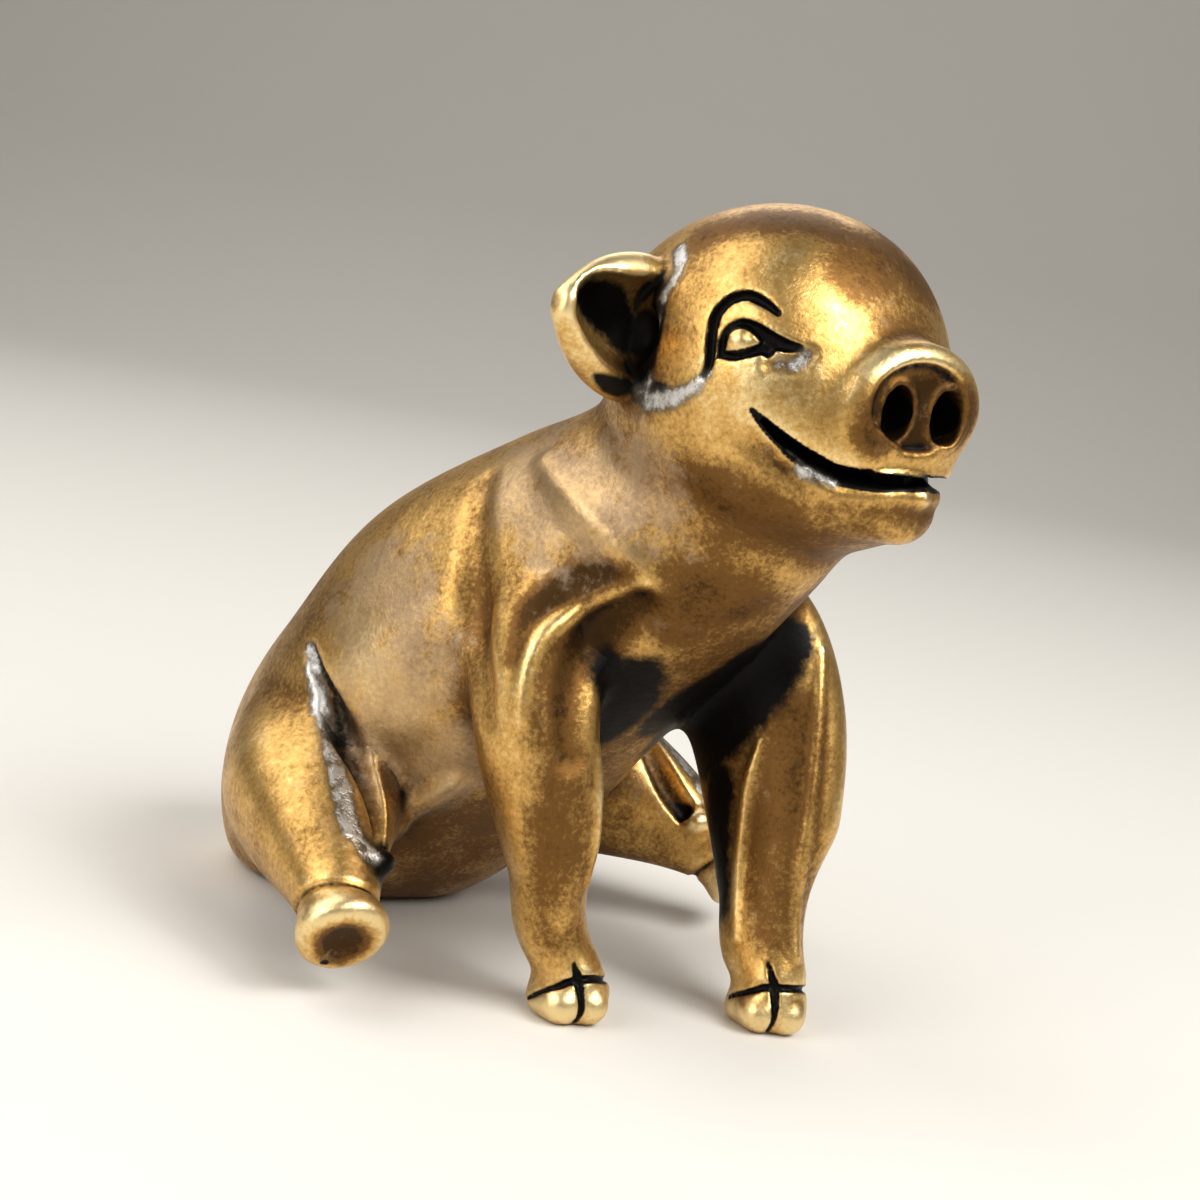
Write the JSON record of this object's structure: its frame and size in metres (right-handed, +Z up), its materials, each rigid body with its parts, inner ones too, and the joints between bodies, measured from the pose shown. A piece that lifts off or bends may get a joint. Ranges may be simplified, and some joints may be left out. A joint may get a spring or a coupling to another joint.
{
  "type": "pig figurine",
  "caption": "Small seated pig ornament in antiqued brass, with a smiling face, hollow ears, cloven hooves and a curled tail; it rests on its flat seat and its fore hooves.",
  "frame": {"origin": "middle of the flat seat under the rump, on the surface that the pig sits on", "axes": "+Z up; the pig looks along -Y; +X is the pig's left side"},
  "size_m": [0.0298, 0.0347, 0.035],
  "materials": {
    "antique_brass": "antiqued cast brass, polished on the high places and dark in the recesses"
  },
  "bodies": {
    "root": {"torso": "antique_brass", "head": "antique_brass", "left_ear": "antique_brass", "right_ear": "antique_brass", "left_foreleg": "antique_brass", "right_foreleg": "antique_brass", "left_hind_leg": "antique_brass", "right_hind_leg": "antique_brass", "tail": "antique_brass"}
  },
  "joints": []
}
